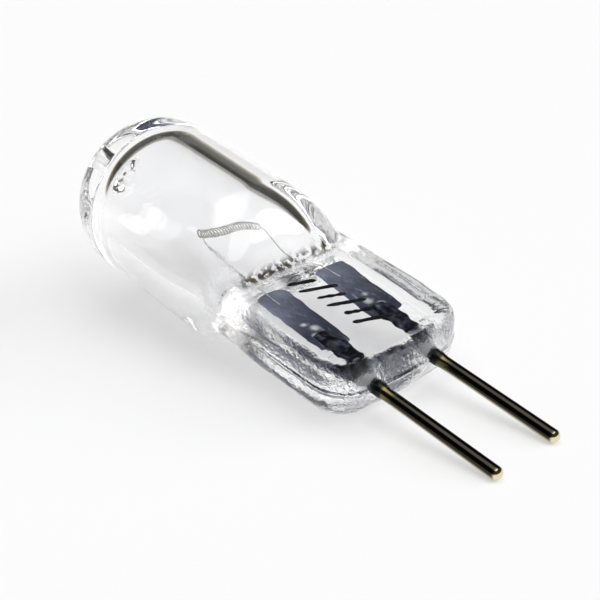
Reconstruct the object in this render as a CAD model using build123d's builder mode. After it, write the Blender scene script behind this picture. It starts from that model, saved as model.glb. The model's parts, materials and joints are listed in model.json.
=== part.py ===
from build123d import *
from math import asin, atan2, cos, degrees, hypot, radians, sin, tan
import os

# Low-voltage halogen capsule lamp with two pins, lying as it comes to rest on a flat surface.
# A quartz bulb is pinched flat at one end over two molybdenum foils, and each foil joins a
# contact pin to a leg of the tungsten filament. Millimetres, +Z up, +X towards the pin tips.

# Bulb: a drawn quartz tube, closed by a dome with the sealed stub of its exhaust tube.
# Places along the lamp are measured from the end of the pinch towards the dome.
tube_radius = 4.75
tube_wall = 1.15
tube_end = 20.2
dome_length = 3.75
stub_base_radius = 1.5
stub_tip_radius = 0.85
stub_length = 1.6
stub_blend = 1.2
stub_tip_round = 0.6
exhaust_radius = 0.5
exhaust_tip_radius = 0.15
exhaust_length = 1.3

# Pinch: the end of the tube pressed flat between two jaws, which leave a raised rim round a web
pinch_half_thickness = 1.6
pinch_half_width = 4.65
pinch_widest_place = 3.5
pinch_shoulder_half_width = 4.25
pinch_end_half_width = 4.5
pinch_corner = 1.3
pinch_end_bulge = 0.45
pinch_edge_round = 0.75
rim_width = 1.0
web_depth = 0.2

# Shoulder: where the jaws stop and the round tube begins. Its crest runs out just above the
# tube, so that the two surfaces cross and don't only touch.
crease_place = 8.5
crease_round = 0.7
shoulder_slope = 56
shoulder_round = 3.0
shoulder_crest = 0.03
neck_inset = 0.75
neck_overlap = 1.0
cavity_floor_place = 9.3
cavity_floor_round = 1.0
cavity_corner_round = 1.6

# Contact pins. A socket grips the straight stretch, which ends just before the glass. From there
# the root tapers a little, and its inner end is ground to a flat tongue welded to the foil.
pin_spacing = 4.0
pin_radius = 0.35
pin_length = 8.3
pin_tip_round = 0.25
grip_clearance = 0.15
root_radius = 0.3
tongue_start = 1.6
tongue_end = 4.2
tongue_tip = 0.12

# Molybdenum foils, thin enough for the quartz to seal on them
foil_width = 2.0
foil_thickness = 0.06
foil_start = 2.6
foil_end = 7.8
foil_corner = 0.3

# Filament: a coiled tungsten wire across the bulb, on two legs of the same wire
wire_radius = 0.05
leg_radius = 0.06
coil_radius = 0.22
coil_pitch = 0.2
coil_turns = 17
coil_place = 13.75
coil_height = 0.95
leg_bend = 0.35
leg_drop = 1.2
leg_on_foil = 1.0
leg_flattening = 0.02

# The rest: the pin tips and the shoulder touch the surface, so the axis is tilted by the line
# that touches the rounding of a tip and the rounding of the shoulder from below
web_half_thickness = pinch_half_thickness - web_depth
crest_height = tube_radius + shoulder_crest
shoulder_rise = (crest_height - web_half_thickness) / tan(radians(shoulder_slope))
tube_start = crease_place + shoulder_rise + shoulder_round * tan(radians(shoulder_slope / 2))
tip_centre = pin_length - pin_tip_round
tip_offset = pin_radius - pin_tip_round
contact_run = tube_start + tip_centre
contact_drop = crest_height - shoulder_round - tip_offset
tilt = asin((shoulder_round - pin_tip_round) / hypot(contact_run, contact_drop))
tilt += atan2(contact_drop, contact_run)

# The origin lies on the surface under the middle of the lamp's length
stub_end = tube_end + dome_length + stub_length
stub_corner = (stub_end - stub_tip_round, stub_tip_radius - stub_tip_round)
pin_reach = tip_centre * cos(tilt) + tip_offset * sin(tilt) + pin_tip_round
stub_reach = stub_corner[0] * cos(tilt) + stub_corner[1] * sin(tilt) + stub_tip_round
axis_height = tip_centre * sin(tilt) + tip_offset * cos(tilt) + pin_tip_round
pinch_end = Vector((stub_reach - pin_reach) / 2, 0, axis_height)

# The lamp's own plane: X runs along the axis to the dome, Z stands on the pinch's flat face
lamp = Plane(pinch_end, x_dir=(-cos(tilt), 0, sin(tilt)), z_dir=(sin(tilt), 0, cos(tilt)))
side = Plane(pinch_end, x_dir=lamp.x_dir, z_dir=-lamp.y_dir)
axis = Axis(pinch_end, lamp.x_dir)
normal = Axis(pinch_end, lamp.z_dir)
pin_lines = (-pin_spacing / 2, pin_spacing / 2)
side_names = ("left", "right")


def across(place, line_y):
    """The plane square to the lamp's axis at a place along it."""
    centre = lamp.from_local_coords(Vector(place, line_y, 0))
    return Plane(centre, x_dir=lamp.y_dir, z_dir=lamp.x_dir)


# Contact pins: round wire with a rounded tip, and a tongue that thins towards the bulb
root_start = -pinch_end_bulge - grip_clearance
pins = []
for name, line_y in zip(side_names, pin_lines):
    with BuildPart() as pin:
        with BuildSketch(across(-pin_length, line_y)):
            Circle(pin_radius)
        extrude(amount=pin_length + root_start)
        fillet(pin.edges().filter_by(GeomType.CIRCLE).sort_by(axis)[0], pin_tip_round)
        with BuildSketch(across(root_start, line_y)):
            Circle(pin_radius)
        with BuildSketch(across(tongue_end, line_y)):
            Circle(root_radius)
        loft()
        with BuildSketch(side):
            with BuildLine():
                Polyline(
                    (tongue_start, foil_thickness / 2),
                    (tongue_start, -pin_radius),
                    (tongue_end, -pin_radius),
                    (tongue_end, foil_thickness / 2),
                    close=True,
                )
            make_face()
            with BuildLine():
                Polyline(
                    (tongue_start, pin_radius),
                    (tongue_end, pin_radius),
                    (tongue_end, foil_thickness / 2 + tongue_tip),
                    close=True,
                )
            make_face()
        extrude(amount=pin_spacing, both=True, mode=Mode.SUBTRACT)
    pin.part.label = f"contact_pin_{name}"
    pins.append(pin)

# Foils: flat strips in the middle of the pinch, under the pins' tongues
foils = []
for name, line_y in zip(side_names, pin_lines):
    with BuildPart() as foil:
        with BuildSketch(lamp):
            with Locations(((foil_start + foil_end) / 2, line_y)):
                RectangleRounded(foil_end - foil_start, foil_width, foil_corner)
        extrude(amount=foil_thickness / 2, both=True)
    foil.part.label = f"foil_{name}"
    foils.append(foil)

# Filament: the coil lies across the bulb, and a leg runs down from each of its ends to a foil
coil_length = coil_pitch * coil_turns
coil_start = lamp.from_local_coords(Vector(coil_place, -coil_length / 2, coil_height))
leg_height = foil_thickness / 2 + leg_radius - leg_flattening
with BuildPart() as filament:
    with BuildLine() as coil_path:
        coil = Helix(coil_pitch, coil_length, coil_radius, center=coil_start, direction=lamp.y_dir)
    with BuildSketch(Plane(coil @ 0, z_dir=coil % 0)):
        Circle(wire_radius)
    sweep(path=coil_path.line, is_frenet=True)
    for end, line_y in zip((coil @ 0, coil @ 1), pin_lines):
        leg_points = (
            (coil_place - leg_drop, line_y, coil_height),
            (cavity_floor_place, line_y, leg_height),
            (foil_end - leg_on_foil, line_y, leg_height),
        )
        leg_points = [lamp.from_local_coords(Vector(*point)) for point in leg_points]
        root = end + (end - leg_points[0]).normalized() * wire_radius
        with BuildLine() as leg_path:
            leg = FilletPolyline(root, *leg_points, radius=leg_bend)
        with BuildSketch(Plane(leg @ 0, z_dir=leg % 0)):
            Circle(leg_radius)
        sweep(path=leg_path.line)
    for foil in foils:
        add(foil.part, mode=Mode.SUBTRACT)
filament.part.label = "filament"

# Cavity of the bulb: it follows the tube, the dome and the jaws' slope at one wall's distance,
# with a rounded floor above the pinch and the sealed bore of the exhaust stub at its far end
cavity_radius = tube_radius - tube_wall
cavity_crest = crest_height - tube_wall
cavity_dome_length = dome_length - tube_wall
bore_end = tube_end + cavity_dome_length + exhaust_length
bore_angle = degrees(asin(exhaust_radius / cavity_radius))
slope_foot = crease_place + tube_wall / sin(radians(shoulder_slope))
slope_top = slope_foot + (cavity_crest - web_half_thickness) / tan(radians(shoulder_slope))
floor_half = web_half_thickness - (slope_foot - cavity_floor_place) * tan(radians(shoulder_slope))
with BuildPart() as cavity:
    with BuildSketch(lamp) as cavity_profile:
        with BuildLine():
            inner_dome = EllipticalCenterArc(
                (tube_end, 0),
                cavity_dome_length,
                cavity_radius,
                start_angle=bore_angle,
                arc_size=90 - bore_angle,
            )
            Polyline(
                inner_dome @ 0,
                (bore_end, exhaust_tip_radius),
                (bore_end, 0),
                (cavity_floor_place, 0),
                (cavity_floor_place, cavity_radius),
                (tube_end, cavity_radius),
            )
        make_face()
        floor_corner = (cavity_floor_place, cavity_radius)
        fillet(cavity_profile.vertices().sort_by_distance(floor_corner)[0], cavity_corner_round)
    revolve(axis=axis)
    with BuildSketch(side):
        with BuildLine():
            inner_slope = FilletPolyline(
                (cavity_floor_place, 0),
                (cavity_floor_place, floor_half),
                (slope_top, cavity_crest),
                (bore_end, cavity_crest),
                radius=(cavity_floor_round, shoulder_round - tube_wall),
            )
            mirror(inner_slope, about=Plane.XZ)
            Line((bore_end, cavity_crest), (bore_end, -cavity_crest))
        make_face()
    extrude(amount=cavity_crest, both=True, mode=Mode.INTERSECT)

# Pinch: a slab of barrel-shaped outline with rounded edges and a bulging end, whose faces are
# recessed inside the rim. It runs on into the round bulb.
with BuildPart() as pinch:
    with BuildSketch(lamp) as outline:
        with BuildLine():
            barrel = ThreePointArc(
                (tube_start, pinch_shoulder_half_width),
                (pinch_widest_place, pinch_half_width),
                (0, pinch_end_half_width),
            )
            ThreePointArc(barrel @ 1, (-pinch_end_bulge, 0), (0, -pinch_end_half_width))
            mirror(barrel, about=Plane.XZ)
            Line(barrel @ 0, (tube_start, -pinch_shoulder_half_width))
        make_face()
        fillet(outline.vertices().sort_by(Axis.X)[:2], pinch_corner)
    extrude(amount=pinch_half_thickness, both=True)
    for flat_face in (pinch.faces().sort_by(normal)[0], pinch.faces().sort_by(normal)[-1]):
        fillet(flat_face.edges().sort_by(axis)[:-1], pinch_edge_round)
    with BuildSketch(lamp.offset(web_half_thickness), lamp.offset(-pinch_half_thickness)):
        add(outline.sketch_local)
        offset(amount=-rim_width)
    extrude(amount=web_depth, mode=Mode.SUBTRACT)

# Glass envelope: the round bulb, turned about the axis, narrows where it runs into the pinch
neck_start = crease_place - neck_overlap
stub_angle = degrees(asin(stub_base_radius / tube_radius))
with BuildPart() as glass:
    with BuildSketch(lamp) as bulb_profile:
        with BuildLine():
            neck = TangentArc(
                (tube_start, tube_radius), (neck_start, tube_radius - neck_inset), tangent=(-1, 0)
            )
            Line((tube_start, tube_radius), (tube_end, tube_radius))
            dome = EllipticalCenterArc(
                (tube_end, 0), dome_length, tube_radius, start_angle=stub_angle, arc_size=90 - stub_angle
            )
            Polyline(dome @ 0, (stub_end, stub_tip_radius), (stub_end, 0), (neck_start, 0), neck @ 1)
        make_face()
        fillet(bulb_profile.vertices().sort_by_distance(dome @ 0)[0], stub_blend)
        fillet(bulb_profile.vertices().sort_by_distance((stub_end, stub_tip_radius))[0], stub_tip_round)
    revolve(axis=axis)

    # The jaws' cut: the tube slopes down on both sides to the web of the pinch
    with BuildSketch(side):
        with BuildLine():
            slope = FilletPolyline(
                (neck_start, web_half_thickness),
                (crease_place, web_half_thickness),
                (crease_place + shoulder_rise, crest_height),
                (stub_end, crest_height),
                radius=(crease_round, shoulder_round),
            )
            mirror(slope, about=Plane.XZ)
            Line(slope @ 0, (neck_start, -web_half_thickness))
            Line(slope @ 1, (stub_end, -crest_height))
        make_face()
    extrude(amount=crest_height, both=True, mode=Mode.INTERSECT)
    add(pinch.part)
    add(cavity.part, mode=Mode.SUBTRACT)
    for metal in (*pins, *foils, filament):
        add(metal.part, mode=Mode.SUBTRACT)
glass.part.label = "glass_envelope"

os.makedirs("parts", exist_ok=True)
for piece in (glass, filament, *foils, *pins):
    export_step(piece.part, f"parts/{piece.part.label}.step")
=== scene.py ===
import bpy
import json
import numpy as np
from mathutils import Matrix, Vector


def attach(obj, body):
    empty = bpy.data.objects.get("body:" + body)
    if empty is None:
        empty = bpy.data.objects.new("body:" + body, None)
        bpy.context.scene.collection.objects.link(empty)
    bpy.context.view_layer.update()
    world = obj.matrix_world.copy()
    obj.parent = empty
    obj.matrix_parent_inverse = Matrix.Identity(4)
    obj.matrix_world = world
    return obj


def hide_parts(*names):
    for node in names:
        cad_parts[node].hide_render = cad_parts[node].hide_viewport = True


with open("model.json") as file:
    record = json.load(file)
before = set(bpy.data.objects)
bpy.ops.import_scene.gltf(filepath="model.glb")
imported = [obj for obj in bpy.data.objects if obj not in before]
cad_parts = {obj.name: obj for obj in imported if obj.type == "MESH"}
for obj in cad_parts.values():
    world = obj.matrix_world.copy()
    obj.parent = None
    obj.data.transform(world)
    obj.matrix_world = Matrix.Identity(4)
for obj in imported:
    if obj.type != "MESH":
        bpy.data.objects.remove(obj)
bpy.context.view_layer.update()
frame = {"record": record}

# Quartz envelope. A drawn tube is closed at one end by a dome with the stub of its exhaust tube,
# and hot jaws have pressed its other end flat round the foils. Its wall shows from both sides, so
# the outside and the cavity are two skins of one piece.

# The lamp's own coordinates, in mm: u runs from the end of the pinch towards the dome, v across the
# row of pins, and w off the pinch's flat face. The record's mounts, which sit at mount_place on the
# pins, give the lamp's place in the frame.
mm = 0.001
pin_mounts = [mount for mount in frame["record"]["mounts"] if mount["kind"] == "pin"]
mount_place = -4.325
towards_tips = np.array(pin_mounts[0]["axis"], float)
lamp_axis = -towards_tips / np.linalg.norm(towards_tips)
across_lamp = np.array((0.0, 1.0, 0.0))
off_flat = np.cross(across_lamp, lamp_axis)
pinch_end = np.mean([mount["pos_m"] for mount in pin_mounts], axis=0) / mm - lamp_axis * mount_place

# Bulb and stub
tube_radius, tube_wall, tube_end, dome_length = 4.75, 1.22, 20.2, 3.75
neck_inset, neck_start, neck_length = 0.75, 12.4, 4.9
stub_start, stub_end, stub_root_radius, stub_tip_radius, stub_tip_round = 23.76, 25.55, 1.5, 0.85, 0.6
stub_fillet = 0.5

# The jaws' slopes, and the pinch with its rim, nose and parting ridge
crease, slope, shoulder_fillet = 8.5, np.radians(56), 1.15
web, rim_height, rim_width, rim_step = 1.4, 1.6, 0.85, 0.3
pinch_shift, end_bulge, end_half_width, pinch_corner, pinch_top = 0.15, 0.45, 4.5, 1.6, 12.3
edge_round, nose_round, nose_length = 0.75, 0.6, 1.6
ridge_height, ridge_width = 0.08, 0.11
slow_dents, quick_dents = 0.016, 0.004
pinch_fillet = 0.25

# Cavity and the bore of the exhaust tube
cavity_floor, cavity_corner, cavity_fillet = 9.3, 1.4, 1.2
dome_wall, cavity_dome_start = 1.75, 19.4
bore_foot, bore_start, bore_end, bore_round, bore_fillet = 21.2, 22.2, 24.4, 0.12, 0.3
bore_root_radius, bore_tip_radius = 0.5, 0.15


def soft_max(a, b, k):
    """The larger of a and b, with the corner between them rounded over a width of k."""
    return np.maximum(a, b) + np.maximum(k - np.abs(a - b), 0) ** 2 / (4 * k)


def soft_min(a, b, k):
    """The smaller of a and b, with the corner between them rounded over a width of k."""
    return -soft_max(-a, -b, k)


def rounded(a, b, radius):
    """The corner where a and b are both under zero, rounded to a radius, as a signed distance."""
    inside = np.minimum(np.maximum(a + radius, b + radius), 0)
    return inside + np.hypot(np.maximum(a + radius, 0), np.maximum(b + radius, 0)) - radius


def rise(value, start, end):
    """0 at start, 1 at end and straight between them, and never below 0 or above 1."""
    return np.clip((value - start) / (end - start), 0, 1)


def hump(value, centre, width, power=2):
    """1 at the centre, and e to the minus of (distance over width) raised to the power beside it."""
    return np.exp(-(((value - centre) / width) ** power))


def unevenness(u, v, w, size, seed):
    """A smooth random field, mostly between -1 and 1, with bumps of the given size: the sum of seven
    sine waves of random heading and phase, divided by 2.6."""
    chance = np.random.default_rng(seed)
    heading = chance.normal(size=(7, 3))
    heading *= np.pi / size / np.linalg.norm(heading, axis=1, keepdims=True)
    phase = chance.uniform(0, 2 * np.pi, 7)
    waves = [np.sin(h[0] * u + h[1] * v + h[2] * w + p) for h, p in zip(heading, phase)]
    return sum(waves) / 2.6


def jaw_cut(u, w):
    """Distance outside the two slopes that the jaws have pressed from the tube down to the web."""
    return (np.abs(w) - web - (u - crease) * np.tan(slope)) * np.cos(slope)


def pinch_plan(u, v):
    """Distance outside the pinch's outline in plan: a barrel, whose half width is a parabola of u, with
    a bulging end and round corners, a little to one side of the pins."""
    half_width = 4.45 + 0.0677 * u - 0.0071 * u**2
    end = -end_bulge * (1 - (v / end_half_width) ** 2) - u
    return rounded(np.abs(v - pinch_shift) - half_width, end, pinch_corner)


def outside_skin(u, v, w):
    """Under zero inside the outer skin. The bulb is a tube with a half-ellipse for a dome, cut by the
    jaws' two slopes. The pinch is a slab with rounded edges and a blunt nose, its faces sunk inside
    the rim, a little uneven, with the jaws' parting line as a low ridge. A soft fillet joins them."""
    r = np.hypot(v, w)
    neck = tube_radius - neck_inset * np.clip((neck_start - u) / neck_length, 0, 1.5) ** 2
    bulb = (np.hypot(r / neck, np.maximum(u - tube_end, 0) / dome_length) - 1) * tube_radius
    bulb = soft_max(bulb, jaw_cut(u, w), shoulder_fillet)
    up_stub = (u - stub_start) / (stub_end - stub_start)
    stub = r - stub_root_radius + (stub_root_radius - stub_tip_radius) * up_stub
    stub = rounded(stub, u - stub_end, stub_tip_round)
    bulb = soft_min(bulb, np.maximum(stub, 22 - u), stub_fillet)
    plan = pinch_plan(u, v)
    sunk = rise(-plan, rim_width - rim_step / 2, rim_width + rim_step / 2)
    sunk = sunk**2 * (3 - 2 * sunk)
    face = np.abs(w) - rim_height + (rim_height - web) * sunk
    blunt = edge_round + nose_round * rise(u, nose_length, 0) ** 2
    slab = np.hypot(np.maximum(plan / edge_round + 1, 0), np.maximum(face / blunt + 1, 0)) - 1
    slab = np.maximum(slab, np.maximum(plan / edge_round, face / blunt)) * edge_round
    slab = slab + slow_dents * unevenness(u, v, w, 1.3, 5) + quick_dents * unevenness(u, v, w, 0.5, 8)
    slab = slab - ridge_height * hump(w, 0, ridge_width)
    slab = np.maximum(slab, u - pinch_top)
    return soft_min(bulb, slab, pinch_fillet)


def cavity_skin(u, v, w):
    """Under zero inside the cavity, which keeps one wall's distance from the tube and the slopes and
    stays further from the dome. It has a flat floor with rounded corners and a narrow bore up the
    stub."""
    r = np.hypot(v, w)
    radius = tube_radius - tube_wall
    dome_depth = tube_end + dome_length - dome_wall - cavity_dome_start
    dome = (np.hypot(r / radius, np.maximum(u - cavity_dome_start, 0) / dome_depth) - 1) * radius
    room = rounded(dome, cavity_floor - u, cavity_corner)
    room = soft_max(room, jaw_cut(u, w) + tube_wall, cavity_fillet)
    up_bore = (u - bore_start) / (bore_end - bore_start)
    bore = r - bore_root_radius + (bore_root_radius - bore_tip_radius) * up_bore
    bore_ends = np.abs(u - (bore_foot + bore_end) / 2) - (bore_end - bore_foot) / 2
    return soft_min(room, rounded(bore, bore_ends, bore_round), bore_fillet)


def skin(inside, start, tail_turns, middle, nose, nose_turns, widening, count):
    """Points of a closed skin on a grid. Each ray starts on the axis and is followed out to the skin by
    halving. The rays of the middle stand square to the axis, and at each end they turn about one
    place until they point along the axis. Widening spreads a ring's rays sideways."""
    longest_ray, halvings = 14.0, 34
    tail_turns, nose_turns = np.radians(tail_turns), np.radians(nose_turns)
    place = np.concatenate([np.full(len(tail_turns), start), middle, np.full(len(nose_turns), nose)])
    turn = np.concatenate([-tail_turns[::-1], np.zeros(len(middle)), nose_turns])[:, None]
    round_the_axis = np.linspace(0, 2 * np.pi, count, endpoint=False)[None, :]
    along = np.sin(turn) * np.ones_like(round_the_axis)
    sideways = np.cos(turn) * widening(place)[:, None] * np.cos(round_the_axis)
    upwards = np.cos(turn) * np.sin(round_the_axis)
    length = np.sqrt(along**2 + sideways**2 + upwards**2)
    along, sideways, upwards = along / length, sideways / length, upwards / length
    near, far = np.zeros_like(length), np.full_like(length, longest_ray)
    for halving in range(halvings):
        half = (near + far) / 2
        within = inside(place[:, None] + half * along, half * sideways, half * upwards) < 0
        near, far = np.where(within, half, near), np.where(within, far, half)
    return np.stack([place[:, None] + far * along, far * sideways, far * upwards], -1)


def as_round(place):
    """Widening of 1 everywhere: rays spread evenly round the axis, for the round cavity."""
    return np.ones_like(place)


def as_flat(place):
    """Widening of 2.6 along the pinch and 1 along the tube, with a smooth step between them at 9.6."""
    return 1 + 1.6 / (1 + np.exp((place - 9.6) * 1.8))


def closed_skin(points):
    """The vertices and faces of a grid of rings, whose first and last rings shrink to a point."""
    rings, count = points.shape[:2]
    ring, spoke = np.meshgrid(np.arange(rings - 1), np.arange(count), indexing="ij")
    after = (spoke + 1) % count
    corners = [ring * count + spoke, (ring + 1) * count + spoke]
    corners += [(ring + 1) * count + after, ring * count + after]
    faces = np.stack(corners, -1).reshape(-1, 4).tolist()
    vertices = np.concatenate([points.reshape(-1, 3), points[0].mean(0)[None], points[-1].mean(0)[None]])
    first_pole, last_pole, last_ring = rings * count, rings * count + 1, (rings - 1) * count
    faces += [(first_pole, spoke, (spoke + 1) % count) for spoke in range(count)]
    faces += [(last_pole, last_ring + (spoke + 1) % count, last_ring + spoke) for spoke in range(count)]
    return vertices, faces


def in_frame(points):
    """Points in the lamp's own coordinates, in mm, as metres in the frame."""
    return (pinch_end + points @ np.array([lamp_axis, across_lamp, off_flat])) * mm


def new_piece(name, skins, material):
    """A mesh object of several closed skins. Each skin is (points, faces, turned). Its faces point away
    from what it encloses, or into it where turned is true, as a cavity's do. The sum of the volumes
    between a middle point and each triangle says which way they point."""
    vertices, polygons = [], []
    for points, faces, turned in skins:
        corner = in_frame(points)
        triangles = np.array([f[:3] for f in faces] + [(f[0], f[2], f[3]) for f in faces if len(f) == 4])
        a, b, c = (corner[triangles[:, k]] - corner.mean(0) for k in range(3))
        volume = np.einsum("ij,ij->i", a, np.cross(b, c)).sum()
        step = -1 if (volume < 0) != turned else 1
        start = sum(len(block) for block in vertices)
        vertices.append(corner)
        polygons += [[int(i) + start for i in face[::step]] for face in faces]
    mesh = bpy.data.meshes.new(name)
    mesh.from_pydata(np.concatenate(vertices).tolist(), [], polygons)
    mesh.polygons.foreach_set("use_smooth", [True] * len(polygons))
    mesh.update()
    mesh.materials.append(material)
    piece = bpy.data.objects.new(name, mesh)
    bpy.context.scene.collection.objects.link(piece)
    return piece


def mark(piece, name, values):
    """Stores one number for each vertex under a name, for the material to read."""
    piece.data.attributes.new(name, "FLOAT", "POINT").data.foreach_set("value", np.ravel(values))


def new_material(name):
    """A material with its own Principled BSDF, ready for its nodes."""
    material = bpy.data.materials.new(name)
    material.use_nodes = True
    return material, material.node_tree.nodes["Principled BSDF"]


def calculate(material, operation, *values):
    """The result of a Math node in the material. Each value is a number or a socket."""
    node = material.node_tree.nodes.new("ShaderNodeMath")
    node.operation = operation
    for socket, value in zip(node.inputs, values):
        if isinstance(value, (int, float)):
            socket.default_value = value
        else:
            material.node_tree.links.new(value, socket)
    return node.outputs[0]


def blend_colour(material, share, a, b):
    """Colour a where the share is 0 and colour b where it is 1. Each is a colour or a socket."""
    node = material.node_tree.nodes.new("ShaderNodeMix")
    node.data_type = "RGBA"
    material.node_tree.links.new(share, node.inputs["Factor"])
    for socket, value in ((node.inputs[6], a), (node.inputs[7], b)):
        if isinstance(value, tuple):
            socket.default_value = (*value, 1)
        else:
            material.node_tree.links.new(value, socket)
    return node.outputs[2]


def build_speck_group():
    """Node group: a mask of specks. Noise at Scale per metre, cut off below Low and full above High."""
    group = bpy.data.node_groups.new("specks", "ShaderNodeTree")
    group.interface.new_socket("Vector", in_out="INPUT", socket_type="NodeSocketVector")
    for name, value in (("Scale", 2000.0), ("Low", 0.5), ("High", 0.6)):
        socket = group.interface.new_socket(name, in_out="INPUT", socket_type="NodeSocketFloat")
        socket.default_value = value
    group.interface.new_socket("Mask", in_out="OUTPUT", socket_type="NodeSocketFloat")
    given, result = group.nodes.new("NodeGroupInput"), group.nodes.new("NodeGroupOutput")
    noise = group.nodes.new("ShaderNodeTexNoise")
    noise.inputs["Detail"].default_value = 3.0
    cut = group.nodes.new("ShaderNodeMapRange")
    group.links.new(given.outputs["Vector"], noise.inputs["Vector"])
    group.links.new(given.outputs["Scale"], noise.inputs["Scale"])
    group.links.new(noise.outputs["Fac"], cut.inputs["Value"])
    group.links.new(given.outputs["Low"], cut.inputs["From Min"])
    group.links.new(given.outputs["High"], cut.inputs["From Max"])
    group.links.new(cut.outputs["Result"], result.inputs["Mask"])
    return group


speck_group = build_speck_group()


def add_specks(material, scale, low, high, stretch=(1, 1, 1)):
    """The mask of a specks group in the material, on object coordinates stretched by a factor."""
    nodes, links = material.node_tree.nodes, material.node_tree.links
    place, mapping = nodes.new("ShaderNodeTexCoord"), nodes.new("ShaderNodeMapping")
    mapping.inputs["Scale"].default_value = stretch
    group = nodes.new("ShaderNodeGroup")
    group.node_tree = speck_group
    for name, value in (("Scale", scale), ("Low", low), ("High", high)):
        group.inputs[name].default_value = value
    links.new(place.outputs["Object"], mapping.inputs["Vector"])
    links.new(mapping.outputs["Vector"], group.inputs["Vector"])
    return group.outputs["Mask"]


def add_mark(material, name):
    """The number stored on the piece under a name."""
    node = material.node_tree.nodes.new("ShaderNodeAttribute")
    node.attribute_name = name
    return node.outputs["Fac"]


def add_bump(material, shader, height, depth):
    """Dents the surface by the height socket, which is 1 at the given depth in mm."""
    bump = material.node_tree.nodes.new("ShaderNodeBump")
    bump.inputs["Distance"].default_value = depth * mm
    material.node_tree.links.new(height, bump.inputs["Height"])
    material.node_tree.links.new(bump.outputs["Normal"], shader.inputs["Normal"])


# The glass is clear, frosted by the jaws on the pinch's sides and dented where it was chilled against
# them. Along the crease its colour holds a painted shade: a mottled dark brown line where the bent
# glass turns light aside.
frost_roughness, chill_depth = 0.24, 0.06
quartz, quartz_shader = new_material("quartz")
quartz_shader.inputs["IOR"].default_value = 1.458
quartz_shader.inputs["Transmission Weight"].default_value = 1.0
frost = calculate(quartz, "MULTIPLY", add_mark(quartz, "frost"), add_specks(quartz, 2600, 0.35, 0.6))
frost = calculate(quartz, "MULTIPLY", frost, frost_roughness)
quartz.node_tree.links.new(frost, quartz_shader.inputs["Roughness"])
chill = calculate(quartz, "MULTIPLY", add_mark(quartz, "chill"), add_specks(quartz, 4600, 0.35, 0.7))
# Painted shade: a mottled dark line along the crease, where the bent glass turns light aside
crease_shade = calculate(quartz, "MULTIPLY", add_mark(quartz, "crease_shade"), add_specks(quartz, 3000, 0.42, 0.53))
cloud = add_specks(quartz, 500, 0.35, 0.7)
clear = blend_colour(quartz, cloud, (0.99, 0.992, 0.998), (0.985, 0.985, 0.992))
clear_with_crease_shade = blend_colour(quartz, crease_shade, clear, (0.012, 0.008, 0.003))
quartz.node_tree.links.new(clear_with_crease_shade, quartz_shader.inputs["Base Color"])
add_bump(quartz, quartz_shader, chill, chill_depth)

# Both skins have finer rings where the glass bends quickly: the crease, the pinch's end and the stub
outer = skin(
    outside_skin,
    3.5,
    np.concatenate([np.arange(0.75, 45, 1.5), np.arange(45, 89.9, 0.62)]),
    np.concatenate([np.arange(3.5, 7.6, 0.14), np.arange(7.6, 9.6, 0.06), np.arange(9.6, 20.2, 0.16)]),
    tube_end,
    np.concatenate([np.arange(1.5, 62, 2.0), np.arange(62, 89.9, 0.65)]),
    as_flat,
    232,
)
inner = skin(
    cavity_skin,
    12.0,
    np.arange(3, 89.9, 2.4),
    np.arange(12.0, 20.2, 0.22),
    tube_end,
    np.concatenate([np.arange(1.5, 72, 3.0), np.arange(72, 89.9, 0.7)]),
    as_round,
    144,
)
skins = [(*closed_skin(outer), False), (*closed_skin(inner), True)]
envelope = new_piece("quartz_envelope", skins, quartz)

# The material's marks on the outer skin: where the jaws chilled and dented it, where they frosted
# its sides and end, and the painted shade along the crease. Each is a soft band of u, of v or of the
# outline's distance.
u, v, w = np.concatenate([skins[0][0], skins[1][0]]).T
plan = pinch_plan(u, v)
is_outside = np.arange(len(u)) < len(skins[0][0])
on_pinch = rise(u, 8.6, 8.0) * is_outside
rim_line = hump(plan, -rim_width, 0.16) * on_pinch
nose = rise(u, 0.5, -0.3) * is_outside
on_crease = (np.abs(w) < 2.2) * (np.abs(v) < 4.0) * is_outside
pressed_line = hump(u, crease - 0.2, 0.24) * on_crease
shoulder = hump(u, 9.0, 1.2) * rise(np.abs(v), 2.9, 3.7) * is_outside
near_side = rise(plan, -0.5, -0.2) * rise(-v, 2, 3) * on_pinch
chilled = 0.02 * on_pinch + 0.9 * rim_line + 0.42 * nose + 0.3 * near_side + pressed_line + 0.3 * shoulder
mark(envelope, "chill", np.clip(chilled, 0, 1))
edge_band = rise(plan, -0.7, -0.4) * on_pinch
jaw_side = np.maximum(rise(-v, 2, 3), rise(u, 1.1, 0.3))
frosted_end = 0.45 * rise(u, 1.0, 0.5) * is_outside
mark(envelope, "frost", np.maximum(edge_band * (0.3 + 0.7 * jaw_side), frosted_end))
# Painted shade along the crease, on the upper face only, fading out towards the sides
crease_shade_band = hump(u, crease + 0.05, 0.27, 4) * (w > 0) * is_outside
mark(envelope, "crease_shade", crease_shade_band * rise(np.abs(v), 3.6, 3.0))
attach(envelope, "root")
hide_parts("glass_envelope")

# Sealing foils. Each is a strip of molybdenum rolled so thin, with feathered edges, that the quartz
# seals on it. Heat has turned it slate blue, darkest by the pin that is spot-welded to it.
foil_end, foil_half_thickness, foil_ripple, foil_feather = 8.05, 0.03, 0.014, 0.035
left_foil = {"start": 2.9, "half_width": 1.03, "splay": 0.3}
right_foil = {"start": 2.4, "half_width": 0.97, "splay": -0.12}
weld_spots = ((4.35, 1.85, 0.2), (3.85, 2.25, 0.15), (4.9, 2.15, 0.12))

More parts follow.
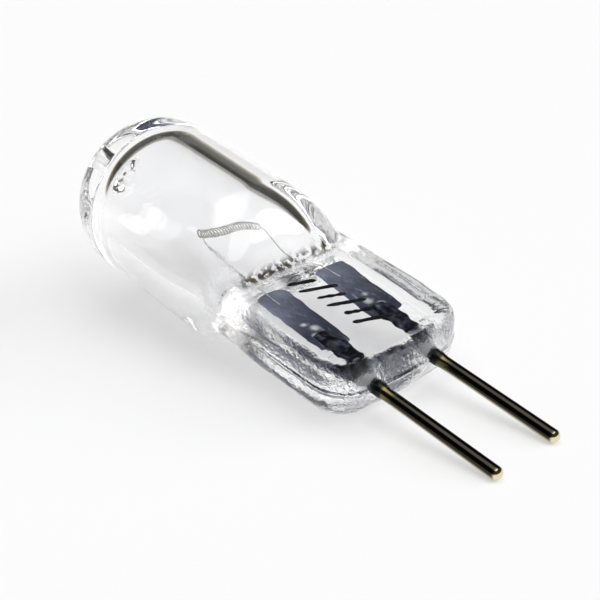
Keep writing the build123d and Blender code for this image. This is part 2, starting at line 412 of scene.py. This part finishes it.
# The foil is paler in clouds, darker with depth, streaked by rolling, navy by the pin and bright
# where it is welded
foil_metal, foil_shader = new_material("molybdenum_foil")
foil_shader.inputs["Metallic"].default_value = 1.0
foil_shader.inputs["Roughness"].default_value = 0.42
cloud = add_specks(foil_metal, 900, 0.3, 0.7)
pale = blend_colour(foil_metal, cloud, (0.20, 0.22, 0.30), (0.30, 0.325, 0.42))
slate = blend_colour(foil_metal, add_mark(foil_metal, "depth"), pale, (0.075, 0.083, 0.12))
rolled = add_specks(foil_metal, 4200, 0.60, 0.75, (0.35, 1, 1))
streaked = blend_colour(foil_metal, rolled, slate, (0.36, 0.38, 0.46))
scale = add_specks(foil_metal, 2300, 0.30, 0.52)
heat = calculate(foil_metal, "MULTIPLY", add_mark(foil_metal, "heat"), scale)
navy = blend_colour(foil_metal, heat, streaked, (0.012, 0.014, 0.028))
welded = blend_colour(foil_metal, add_mark(foil_metal, "weld"), navy, (0.85, 0.87, 0.9))
foil_metal.node_tree.links.new(welded, foil_shader.inputs["Base Color"])
add_bump(foil_metal, foil_shader, add_specks(foil_metal, 2600, 0.3, 0.7), 0.02)

# A lens-shaped section is carried up the foil. Its edge is uneven, the whole strip ripples a little,
# and it stands further to one side towards the bulb by its splay. A weld spot is a place and a size.
up_foil = np.linspace(0, 1, 110)[:, None]
round_it = np.linspace(0, 2 * np.pi, 40, endpoint=False)[None, :]
for side, name, sizes in ((1, "left", left_foil), (-1, "right", right_foil)):
    u = sizes["start"] + (foil_end - sizes["start"]) * up_foil
    ends = (1 - np.abs(2 * up_foil - 1) ** 26) ** 0.5
    v = side * (2 + sizes["splay"] * rise(u, 2.4, 7.4))
    feathered = 1 + foil_feather * unevenness(u, v, np.sin(round_it), 0.5, 21 + side)
    across = v + sizes["half_width"] * ends * feathered * np.cos(round_it)
    ripple = foil_ripple * unevenness(u, across, 0 * u, 1.1, 30 + side)
    off = ripple + foil_half_thickness * ends * np.sin(round_it)
    points, faces = closed_skin(np.stack([u + 0 * round_it, across, off], -1))
    foil = new_piece("sealing_foil_" + name, [(points, faces, False)], foil_metal)
    mark(foil, "depth", rise(points[:, 0], 7.6, 4.0))
    mark(foil, "heat", rise(points[:, 0], 5.0, 3.8))
    distance = [np.hypot(points[:, 0] - p, points[:, 1] - side * q) / r for p, q, r in weld_spots]
    mark(foil, "weld", np.clip(1.6 - np.min(distance, axis=0), 0, 1))
    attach(foil, "root")
    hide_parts("foil_" + name)

# Contact pins. Each is drawn molybdenum wire with a rounded tip. The hot quartz has oxidised it to a
# dark collar where it leaves the glass, and inside the glass its root is lumpy and nearly black.
pin_place, pin_length, pin_radius, pin_tip_round = 2.0, 8.3, 0.35, 0.3
root_end, collar_height, collar_place, collar_half_length = 3.95, 0.05, -0.45, 0.45
root_widens, root_flattens, root_lumps, floor_reflection_side = 0.75, 0.45, 0.16, (-0.72, -0.69)
bare_roughness, oxide_adds = 0.09, 0.41

# From the tip the wire is near black, a painted reflection of the dark room, streaked along its drawing,
# with a painted reflection of the floor as a pale line below and on the tip; then straw-coloured, then
# black with oxide. Inside the glass a bright gap follows, and past it the navy crust of the root.
pin_metal, pin_shader = new_material("pin_metal")
pin_shader.inputs["Metallic"].default_value = 1.0
pin_shader.inputs["Coat Weight"].default_value = 0.35
pin_shader.inputs["Coat Roughness"].default_value = 0.06
drawn = add_specks(pin_metal, 5200, 0.45, 0.7, (0.04, 1, 1))
# Painted reflection: the wire's near-black colour stands in for the dark room it reflects, streaked along its
# drawing
dark_reflection_streaked = blend_colour(pin_metal, drawn, (0.022, 0.017, 0.010), (0.014, 0.011, 0.007))
# Painted reflection of the white floor: cream on the wire's lower side and on its tip
reflected_floor = blend_colour(pin_metal, add_mark(pin_metal, "floor_reflection"), dark_reflection_streaked, (0.80, 0.70, 0.46))
straw = blend_colour(pin_metal, add_mark(pin_metal, "straw"), reflected_floor, (0.13, 0.115, 0.045))
crust, lumpy = add_specks(pin_metal, 2600, 0.4, 0.62), add_specks(pin_metal, 2100, 0.45, 0.66)
black = blend_colour(pin_metal, crust, (0.004, 0.006, 0.004), (0.02, 0.024, 0.015))
navy = blend_colour(pin_metal, lumpy, (0.005, 0.006, 0.014), (0.08, 0.09, 0.14))
dark = blend_colour(pin_metal, add_mark(pin_metal, "sealed"), black, navy)
dark = blend_colour(pin_metal, add_mark(pin_metal, "gap"), dark, (0.62, 0.64, 0.68))
oxidised = blend_colour(pin_metal, add_mark(pin_metal, "oxide"), straw, dark)
pin_metal.node_tree.links.new(oxidised, pin_shader.inputs["Base Color"])
rough = calculate(pin_metal, "MULTIPLY_ADD", add_mark(pin_metal, "oxide"), oxide_adds, bare_roughness)
pin_metal.node_tree.links.new(rough, pin_shader.inputs["Roughness"])
add_bump(pin_metal, pin_shader, drawn, 0.002)

# Rings up the wire, from the quarter circle of its tip. The collar swells, and the root widens,
# flattens and turns lumpy. A painted reflection of the white floor lies as a pale line along the side
# that faces down and towards the camera, and on the tip.
round_it = np.linspace(0, 2 * np.pi, 48, endpoint=False)[None, :]
turn = np.radians(np.arange(6, 91, 7))[::-1]
tip_u = -pin_length + pin_tip_round * (1 - np.sin(turn))
tip_radius = pin_radius - pin_tip_round * (1 - np.cos(turn))
shaft = np.concatenate([np.arange(-7.95, -1.4, 0.35), np.arange(-1.4, 3.9, 0.07)])
place = np.concatenate([tip_u, shaft, [3.93, root_end]])[:, None]
radius = np.concatenate([tip_radius, np.full(len(shaft), pin_radius), [0.2, 0.06]])[:, None]
radius = radius + collar_height * hump(place, collar_place, collar_half_length, 4)
rooted = rise(place, 0.2, 1.4)
wide = radius * (1 + root_widens * rooted * np.maximum(rise(place, root_end, root_end - 1.2), 0.25))
v, w = wide * np.cos(round_it), radius * (1 - root_flattens * rooted) * np.sin(round_it)
for side, name in ((1, "left"), (-1, "right")):
    lumps = 1 + root_lumps * rooted * unevenness(place + 0 * v, v, w, 0.45, 40 + side)
    points, faces = closed_skin(np.stack([place + 0 * v, side * pin_place + v * lumps, w * lumps], -1))
    pin = new_piece("contact_pin_wire_" + name, [(points, faces, False)], pin_metal)
    ragged = points[:, 0] + 0.06 * unevenness(*points.T, 0.3, 50 + side)
    mark(pin, "oxide", rise(ragged, -0.92, -0.82))
    mark(pin, "sealed", rise(ragged, 0, 0.2))
    mark(pin, "gap", rise(ragged, 0.1, 0.2) * rise(ragged, 0.95, 0.8))
    mark(pin, "straw", rise(ragged, -1.6, -1.1))
    # Painted reflection of the floor: a pale line along the side facing down and towards the camera, away
    # from the collar, and on the rounded tip
    facing = (floor_reflection_side[0] * (points[:, 1] - side * pin_place) + floor_reflection_side[1] * points[:, 2]) / pin_radius
    floor_reflection_line = 0.8 * rise(facing, 0.72, 0.97) * rise(points[:, 0], -1.0, -1.5)
    mark(pin, "floor_reflection", np.maximum(floor_reflection_line, rise(points[:, 0], -8.02, -8.14)))
    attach(pin, "root")
    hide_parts("contact_pin_" + name)

# Filament. A fine tungsten coil sags a little across the bulb between two legs, which run down
# into the pinch and lie on the foils.
coil_radius, coil_turns, coil_wire, leg_wire = 0.19, 23, 0.045, 0.034
coil_place, coil_offset, coil_rise, coil_half_length = 13.7, 0.08, 0.95, 1.45
coil_lean, coil_sway, coil_sag, points_per_turn = 0.42, 0.10, 0.08, 22


def wire_along(path, radius, reference, count):
    """A round wire along a path: a circle of the radius in the plane square to the path, turned so
    that its first point faces the reference direction."""
    heading = np.gradient(path, axis=0)
    heading /= np.linalg.norm(heading, axis=1, keepdims=True)
    first = reference - heading * (reference * heading).sum(1, keepdims=True)
    first /= np.linalg.norm(first, axis=1, keepdims=True)
    second = np.cross(heading, first)
    turn = np.linspace(0, 2 * np.pi, count, endpoint=False)[None, :, None]
    return path[:, None] + radius * (np.cos(turn) * first[:, None] + np.sin(turn) * second[:, None])


def path_through(corners, count):
    """A smooth path through corners: between two of them, a cubic whose slope at each is half the
    step from the corner before to the corner after."""
    corners = np.array(corners, float)
    slopes = np.gradient(corners, axis=0)
    place = np.linspace(0, len(corners) - 1, count)
    left = np.minimum(place.astype(int), len(corners) - 2)
    t = (place - left)[:, None]
    start, end = corners[left], corners[left + 1]
    bend = (2 * t**3 - 3 * t**2 + 1) * start + (3 * t**2 - 2 * t**3) * end
    return bend + (t**3 - 2 * t**2 + t) * slopes[left] + (t**3 - t**2) * slopes[left + 1]


# The coil winds round an axis that leans across the bulb and bends as one wave of a sine. Each leg
# starts at one of its ends and passes through a row of corners.
t = np.linspace(-1, 1, coil_turns * points_per_turn)
wave = np.sin(np.pi * t)
axis_u = coil_place - coil_lean * t + coil_sway * wave
axis_v = coil_offset + coil_half_length * t
axis_w = coil_rise + coil_sag * wave
turned = np.pi * coil_turns * t
outwards = np.stack([np.cos(turned), np.zeros_like(t), np.sin(turned)], -1)
coil_path = np.stack([axis_u, axis_v, axis_w], -1) + coil_radius * outwards
near_leg = (
    coil_path[0],
    (13.5, -1.45, 0.9),
    (12.4, -1.6, 0.75),
    (10.6, -1.85, 0.4),
    (9.2, -1.95, 0.15),
    (8.2, -2.0, 0.07),
    (6.9, -2.0, 0.06),
)
far_leg = (
    coil_path[-1],
    (12.8, 1.55, 0.95),
    (12.0, 1.4, 0.8),
    (10.6, 1.3, 0.4),
    (9.2, 1.6, 0.15),
    (8.2, 2.0, 0.07),
    (6.9, 2.2, 0.06),
)
wires = [wire_along(coil_path, coil_wire, outwards, 8)]
wires += [wire_along(path_through(leg, 90), leg_wire, across_lamp[None], 8) for leg in (near_leg, far_leg)]
tungsten, tungsten_shader = new_material("tungsten")
tungsten_shader.inputs["Metallic"].default_value = 0.7
tungsten_shader.inputs["Roughness"].default_value = 0.4
grey = blend_colour(tungsten, add_specks(tungsten, 1500, 0.4, 0.65), (0.86, 0.86, 0.84), (0.62, 0.62, 0.58))
tungsten.node_tree.links.new(grey, tungsten_shader.inputs["Base Color"])
add_bump(tungsten, tungsten_shader, add_specks(tungsten, 9000, 0.3, 0.7), 0.004)
filament = new_piece("coiled_filament", [(*closed_skin(wire), False) for wire in wires], tungsten)
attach(filament, "root")
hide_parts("filament")

# Batch mark. A row of plain slanted ticks in black ceramic ink, rolled onto the pinch's upper face
# between the foils and fired on.
tick_width, tick_height, tick_lift, tick_unevenness, above_glass = 0.14, 0.014, 0.006, 0.18, 3.0
along_tick, across_tick = (-0.36, 0.93), (0.93, 0.35)
ticks = (
    (7.0, 0.8, -0.45),
    (6.1, 1.1, -0.1),
    (5.2, 0.8, 0.0),
    (4.3, 1.1, 0.2),
    (3.4, 0.8, 0.2),
    (2.5, 1.1, 0.3),
)
ink, ink_shader = new_material("ceramic_ink")
ink_shader.inputs["Roughness"].default_value = 0.7
ink_shader.inputs["Specular IOR Level"].default_value = 0.15
grainy = blend_colour(ink, add_specks(ink, 3000, 0.5, 0.7), (0.004, 0.004, 0.005), (0.022, 0.022, 0.025))
ink.node_tree.links.new(grainy, ink_shader.inputs["Base Color"])
add_bump(ink, ink_shader, add_specks(ink, 5000, 0.3, 0.7), 0.01)

# Each tick is its place on u, half its length and its place on v. A lens-shaped section follows its
# slanted line, laid on the glass at the height found by halving.
up_tick = np.linspace(-1, 1, 40)[:, None]
round_it = np.linspace(0, 2 * np.pi, 12, endpoint=False)[None, :]
tick_skins = []
for number, (tick_u, half_length, tick_v) in enumerate(ticks):
    uneven = 1 + tick_unevenness * unevenness(up_tick, 0, 0, 0.25, 60 + number)
    width = tick_width * (1 - np.abs(up_tick) ** 8) ** 0.5 * uneven * np.cos(round_it)
    u = tick_u + along_tick[0] * half_length * up_tick + across_tick[0] * width
    v = tick_v + along_tick[1] * half_length * up_tick + across_tick[1] * width
    low, high = np.zeros_like(u), np.full_like(u, above_glass)
    for halving in range(30):
        half = (low + high) / 2
        within = outside_skin(u, v, half) < 0
        low, high = np.where(within, half, low), np.where(within, high, half)
    w = high + tick_lift + tick_height * np.sin(round_it)
    tick_skins.append((*closed_skin(np.stack([u, v, w], -1)), False))
batch_mark = new_piece("batch_ticks", tick_skins, ink)
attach(batch_mark, "root")

# Stage: a white sheet that runs to the horizon. Seen directly, or in glass and metal, half of its
# white is its own, so a shadow on it stays as light as the photograph's. Glass takes a little light
# away, so the sheet's own white is a little brighter through it.
reach, own_share, glass_gain = 6.0, 0.5, 0.06
sheet_mesh = bpy.data.meshes.new("floor")
sheet_corners = [(-reach, -reach, 0), (reach, -reach, 0), (reach, reach, 0), (-reach, reach, 0)]
sheet_mesh.from_pydata(sheet_corners, [], [(0, 1, 2, 3)])
floor = bpy.data.objects.new("floor", sheet_mesh)
bpy.context.scene.collection.objects.link(floor)
sheet, sheet_shader = new_material("white_sheet")
sheet_mesh.materials.append(sheet)
sheet_shader.inputs["Base Color"].default_value = (0.9, 0.9, 0.905, 1)
sheet_shader.inputs["Roughness"].default_value = 0.3
sheet_shader.inputs["Specular IOR Level"].default_value = 0.0
nodes, links = sheet.node_tree.nodes, sheet.node_tree.links
ray = nodes.new("ShaderNodeLightPath").outputs
clearly_seen = calculate(sheet, "MAXIMUM", ray["Is Camera Ray"], ray["Is Transmission Ray"])
clearly_seen = calculate(sheet, "MAXIMUM", clearly_seen, ray["Is Glossy Ray"])
glow = nodes.new("ShaderNodeEmission")
glow.inputs["Color"].default_value = (1, 1, 1, 1)
strength = calculate(sheet, "MULTIPLY_ADD", ray["Is Transmission Ray"], glass_gain, 1.0)
links.new(strength, glow.inputs["Strength"])
lit_and_own = nodes.new("ShaderNodeMixShader")
links.new(calculate(sheet, "MULTIPLY", clearly_seen, own_share), lit_and_own.inputs[0])
links.new(sheet_shader.outputs[0], lit_and_own.inputs[1])
links.new(glow.outputs[0], lit_and_own.inputs[2])
links.new(lit_and_own.outputs[0], nodes["Material Output"].inputs["Surface"])

# Light: a dim room whose horizon is bright, with a softbox overhead, and two wide lamps to the side.
# The room's light is a ramp by the height of the direction, 0 at the horizon and 1 overhead. The
# camera itself sees the sheet's white there.
room_light = (
    (0.03, (0.24, 0.235, 0.22)),
    (0.06, (0.13, 0.12, 0.095)),
    (0.11, (0.06, 0.054, 0.04)),
    (0.18, (0.018, 0.016, 0.012)),
    (0.3, (0.01, 0.01, 0.008)),
    (0.865, (0.01, 0.01, 0.01)),
    (0.92, (0.52, 0.52, 0.52)),
)
horizon_light, overhead_light, shown_light = (0.25,) * 3, (0.68,) * 3, (0.242, 0.242, 0.243)
room = bpy.data.worlds.new("room")
bpy.context.scene.world = room
room.use_nodes = True
nodes, links = room.node_tree.nodes, room.node_tree.links
height = nodes.new("ShaderNodeSeparateXYZ")
links.new(nodes.new("ShaderNodeTexCoord").outputs["Generated"], height.inputs[0])
ramp = nodes.new("ShaderNodeValToRGB")
links.new(height.outputs["Z"], ramp.inputs["Fac"])
elements = ramp.color_ramp.elements
elements[0].position, elements[0].color = 0.0, (*horizon_light, 1)
elements[1].position, elements[1].color = 1.0, (*overhead_light, 1)
for position, colour in room_light:
    elements.new(position).color = (*colour, 1)
ray = nodes.new("ShaderNodeLightPath").outputs
shown = blend_colour(room, ray["Is Camera Ray"], ramp.outputs["Color"], shown_light)
links.new(shown, nodes["Background"].inputs["Color"])
nodes["Background"].inputs["Strength"].default_value = 4.0
for name, towards, width, energy in (
    ("lamp_right", (0.75, 0.1, 0.65), 46, 1.55),
    ("lamp_far", (0.6, 0.72, 0.48), 44, 1.55),
):
    light = bpy.data.lights.new(name, "SUN")
    light.angle, light.energy = np.radians(width), energy
    lamp = bpy.data.objects.new(name, light)
    lamp.rotation_euler = Vector(towards).to_track_quat("Z", "Y").to_euler()
    lamp.visible_glossy = False
    bpy.context.scene.collection.objects.link(lamp)

# Camera: the photograph's place and lens, fitted to the pins and the outline. Its place is in mm.
camera_place = (49.20624, -38.24137, 33.73600)
camera_right, camera_up = (0.65503, 0.74958, -0.09522), (-0.27757, 0.35592, 0.89234)
camera_back = (0.70277, -0.55808, 0.44120)
camera_data = bpy.data.cameras.new("camera")
camera_data.lens, camera_data.sensor_width = 78.0, 36.0
camera_data.clip_start, camera_data.clip_end = 0.002, 10.0
camera = bpy.data.objects.new("camera", camera_data)
bpy.context.scene.collection.objects.link(camera)
camera_axes = np.column_stack([camera_right, camera_up, camera_back])
camera.matrix_world = Matrix.Translation(np.array(camera_place) * mm) @ Matrix(camera_axes.tolist()).to_4x4()
bpy.context.scene.camera = camera

# Light is reflected many times inside the glass, so the limits on its bounces are raised
bounce_limit = 40
bpy.context.scene.view_settings.view_transform = "Standard"
cycles = bpy.context.scene.cycles
cycles.max_bounces = cycles.transmission_bounces = cycles.glossy_bounces = bounce_limit
